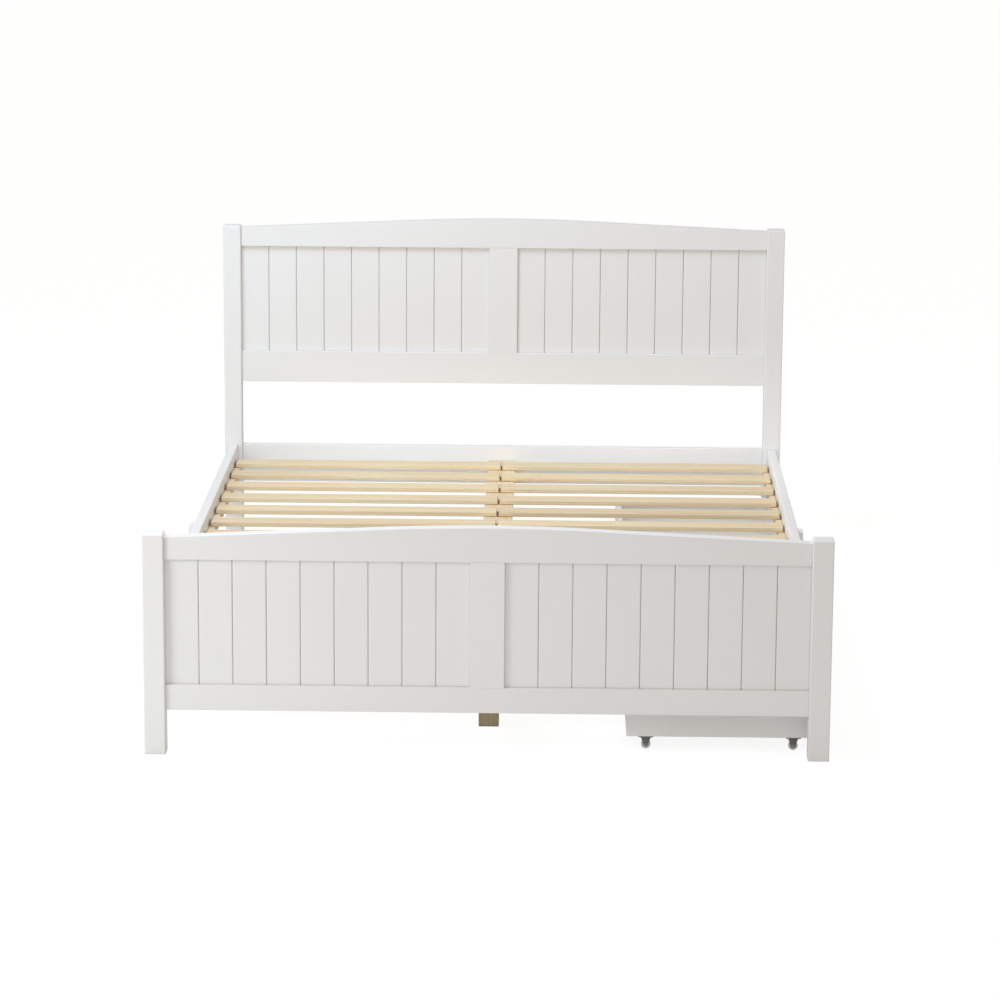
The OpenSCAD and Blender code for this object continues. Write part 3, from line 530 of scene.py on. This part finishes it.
def fasteners(node):
    """Each fastener of a CAD node: its frame, with +Z out of the head, and its length
    and the radii of its head and shank."""
    mesh = clean_copy(node)
    found = []
    for group in islands(mesh):
        points = [v.co.copy() for v in group]
        low = Vector([min(p[k] for p in points) for k in range(3)])
        high = Vector([max(p[k] for p in points) for k in range(3)])
        axis = max(range(3), key=lambda k: (high - low)[k])
        middle = (low + high) / 2
        ends = []
        for edge_value, sign in ((low[axis], -1), (high[axis], 1)):
            reach = max(math.dist([p[k] for k in range(3) if k != axis],
                                  [middle[k] for k in range(3) if k != axis])
                        for p in points if abs(p[axis] - edge_value) < 0.2 * MM)
            ends.append((reach, sign, edge_value))
        ends.sort()
        (shank, _, _), (head, sign, top) = ends
        out = Vector([sign if k == axis else 0 for k in range(3)])
        middle[axis] = top
        place = Matrix.Translation(middle) @ out.to_track_quat("Z", "Y").to_matrix().to_4x4()
        found.append((place, (high - low)[axis], head, shank))
    mesh.free()
    return found


def thread(pitch, top, depth):
    """A shape that cuts a screw thread below a height."""
    def shape(radius, height, angle):
        turn = (height / pitch - angle / (2 * math.pi)) % 1
        if height < top:
            radius -= depth * min(1, abs(turn - 0.5) * 3)
        return radius, height
    return shape


def cross_recess(head):
    """A shape that sinks a cross recess into the head of a screw."""
    reach, half_arm, depth = 0.62 * head, 0.15 * head, 0.5 * head
    def shape(radius, height, angle):
        arm, out = sorted((abs(radius * math.cos(angle)), abs(radius * math.sin(angle))))
        if out < reach and arm < half_arm * (1.5 - 0.7 * out / reach):
            height -= depth * (1 - 0.7 * out / reach)
        return radius, height
    return shape


def hex_socket(across, depth):
    """A shape that sinks a hexagonal socket into the head of a bolt."""
    def shape(radius, height, angle):
        flat = max(abs(radius * math.cos(angle - k * math.pi / 3)) for k in range(3))
        return radius, height - (depth if flat < across / 2 else 0)
    return shape


def steel_piece(mesh, name, node):
    """A steel object from a bmesh, smooth but for its sharp corners."""
    for face in mesh.faces:
        face.smooth = True
    data = bpy.data.meshes.new(name)
    mesh.to_mesh(data)
    mesh.free()
    data.set_sharp_from_angle(angle=STEEL_SMOOTH_ANGLE)
    piece = bpy.data.objects.new(name, data)
    bpy.context.scene.collection.objects.link(piece)
    stand_for(piece, node)


def headed(sink, cut):
    """A shape that sinks the drive into the flat of a head and cuts the thread below."""
    def shape(radius, height, angle):
        return (sink if height > HEAD_FLAT else cut)(radius, height, angle)
    return shape


def wood_screw_set(node):
    """Countersunk screws with a cross recess and a coarse thread."""
    mesh = bmesh.new()
    for place, length, head, shank in fasteners(node):
        cone, pitch = 0.65 * head, 0.5 * shank + 0.8 * MM
        quarter_turns = int((length - cone) / pitch * 4)
        heights = [-length + shank + i * pitch / 4 for i in range(quarter_turns)]
        profile = [(0, -length), (0.25 * shank, -length + 0.3 * shank)]
        profile += [(shank * min(1, 0.5 + 0.2 * i), height)
                    for i, height in enumerate(heights) if height < -cone - 0.4 * MM]
        profile += [(shank, -cone), (head, -0.3 * MM), (head, -0.1 * MM), (0.96 * head, 0)]
        profile += [(f * head, 0) for f in (0.8, 0.66, 0.58, 0.48, 0.36, 0.24, 0.12, 0)]
        shape = headed(cross_recess(head), thread(pitch, -cone - 1.2 * MM, 0.3 * shank))
        turned(mesh, place, profile, 40, shape)
    steel_piece(mesh, node + "_detailed", node)


def stud_set(node):
    """Fully threaded studs with chamfered ends."""
    mesh = bmesh.new()
    for place, length, head, _ in fasteners(node):
        quarter_turns = int((length - 2 * MM) / BOLT_PITCH * 4)
        profile = [(0, -length), (0.8 * head, -length), (head, -length + MM)]
        profile += [(head, -length + MM + i * BOLT_PITCH / 4) for i in range(1, quarter_turns)]
        profile += [(head, -MM), (0.8 * head, 0), (0, 0)]
        turned(mesh, place, profile, 24, thread(BOLT_PITCH, -MM, BOLT_THREAD_DEPTH))
    steel_piece(mesh, node + "_threaded", node)


def leg_bolt_set(node):
    """Flat round-headed bolts with a hexagonal socket."""
    mesh = bmesh.new()
    shape = headed(hex_socket(SOCKET_ACROSS, SOCKET_DEPTH),
                   thread(BOLT_PITCH, -LEG_BOLT_HEAD - 8 * MM, BOLT_THREAD_DEPTH))
    for place, length, head, shank in fasteners(node):
        quarter_turns = int((length - LEG_BOLT_HEAD - 2 * MM) / BOLT_PITCH * 4)
        profile = [(0, -length), (0.8 * shank, -length), (shank, -length + MM)]
        profile += [(shank, -length + MM + i * BOLT_PITCH / 4) for i in range(1, quarter_turns)]
        profile += [(shank, -LEG_BOLT_HEAD), (0.94 * head, -LEG_BOLT_HEAD),
                    (head, -LEG_BOLT_HEAD + 0.6 * MM), (head, -1.4 * MM),
                    (0.93 * head, -0.5 * MM), (0.8 * head, -0.1 * MM)]
        profile += [(f * head, 0) for f in (0.55, 0.3, 0.27, 0.2, 0)]
        turned(mesh, place, profile, 48, shape)
    steel_piece(mesh, node + "_detailed", node)


def pressed_part(node, radius):
    """A CAD fitting with its sharp corners eased."""
    mesh = clean_copy(node)
    ease_edges(mesh, radius, 2, 0)
    mark_boards(mesh, "Z", random.Random(node))
    stand_for(finish_mesh(mesh, node + "_eased"), node)


wood_screw_set("wood_screws")
stud_set("bed_bolts")
leg_bolt_set("leg_bolts")
pressed_part("half_moon_nuts", 0.4 * MM)
pressed_part("beam_angles", 0.35 * MM)
board("rail_dowels", "Y", 0.5 * MM, 2, 0)
board("slat_pins", "Z", 0.4 * MM, 2, 0)
for drawer in ("drawer_foot", "drawer_head"):
    wood_screw_set(drawer + "_screws")
    board(drawer + "_dowels", "Y", 0.4 * MM, 2, 0)
    pressed_part(drawer + "_casters", 0.35 * MM)
    pressed_part(drawer + "_axles", 0.25 * MM)
    for index in range(1, 5):
        pressed_part(f"{drawer}_wheel_{index}", 0.2 * MM)


# ---- Floor, light and camera ----


def seen_directly(tree):
    """1 for what the camera sees, 0 for light that bounces on."""
    return add(tree, "LightPath").outputs["Is Camera Ray"]


def studio_floor():
    """A pale matt floor that looks nearly white, as an overlit studio sweep does."""
    bpy.ops.mesh.primitive_plane_add(size=60)
    floor = bpy.context.object
    floor.name = "floor"
    material, tree, shader = new_material("floor", (0.82, 0.82, 0.81))
    shader.inputs["Roughness"].default_value = 0.9
    shader.inputs["Specular IOR Level"].default_value = 0.1
    glow = add(tree, "Emission", {"Color": (1, 1, 1, 1), "Strength": 1.13})
    share = calc(tree, "MULTIPLY", seen_directly(tree), 0.8)
    mixed = add(tree, "MixShader", {0: share, 1: shader.outputs[0], 2: glow.outputs[0]})
    tree.links.new(mixed.outputs[0], tree.nodes["Material Output"].inputs["Surface"])
    floor.data.materials.append(material)


def area_light(name, place, target, width, height, power, colour, spread=180):
    """A soft box that points at a target and that the camera doesn't see."""
    data = bpy.data.lights.new(name, "AREA")
    data.shape, data.size, data.size_y = "RECTANGLE", width, height
    data.energy, data.color, data.spread = power, colour, math.radians(spread)
    light = bpy.data.objects.new(name, data)
    bpy.context.scene.collection.objects.link(light)
    light.location = place
    light.rotation_euler = (Vector(target) - Vector(place)).to_track_quat("-Z", "Y").to_euler()
    light.visible_camera = False


def studio_world(strength, colour):
    """White to the camera, and a softer warm light from all round on the bed."""
    world = bpy.data.worlds.new("studio")
    world.use_nodes = True
    tree = world.node_tree
    soft = tree.nodes["Background"]
    soft.inputs["Color"].default_value = (*colour, 1)
    soft.inputs["Strength"].default_value = strength
    white = add(tree, "Background", {"Color": (1, 1, 1, 1), "Strength": 1.0})
    mixed = add(tree, "MixShader", {0: seen_directly(tree), 1: soft.outputs[0],
                                    2: white.outputs[0]})
    tree.links.new(mixed.outputs[0], tree.nodes["World Output"].inputs["Surface"])
    bpy.context.scene.world = world


def camera(place, yaw, pitch, roll, lens):
    """A level camera turned by yaw, tipped down by pitch and then rolled."""
    data = bpy.data.cameras.new("camera")
    data.lens, data.sensor_width = lens, 36
    data.clip_start, data.clip_end = 0.1, 100
    made = bpy.data.objects.new("camera", data)
    bpy.context.scene.collection.objects.link(made)
    turn = (Matrix.Rotation(math.radians(yaw), 4, "Z")
            @ Matrix.Rotation(math.radians(90 - pitch), 4, "X")
            @ Matrix.Rotation(math.radians(roll), 4, "Z"))
    made.matrix_world = Matrix.Translation(place) @ turn
    bpy.context.scene.camera = made


studio_floor()
studio_world(strength=0.6, colour=(1, 0.92, 0.865))
# The main lights: from the left of the foot end, and from above
area_light("side_light", place=(-2.0, -2.3, 1.4), target=(-0.3, -0.9, 0.3),
           width=0.9, height=0.9, power=18, colour=(0.93, 1, 1.02))
area_light("top_light", place=(-0.9, -0.5, 2.8), target=(0, 0.3, 0.3),
           width=1.2, height=1.2, power=31, colour=(0.83, 1, 1.19))
# Two weak narrow ones, on the cross rail and on the inside of the right side rail
area_light("rail_light", place=(0.12, -0.25, 0.85), target=(0.12, 0.96, 0.2),
           width=1.3, height=0.15, power=0.32, colour=(0.92, 0.98, 1), spread=30)
area_light("inner_light", place=(-1.6, 0, 0.55), target=(0.7, 0, 0.28),
           width=1.9, height=0.1, power=0.22, colour=(1, 1, 1), spread=14)
camera(place=(0.1434, -8.539, 2.186), yaw=0.896, pitch=12.165, roll=0.386, lens=133.353)
bpy.context.scene.view_settings.view_transform = "Standard"
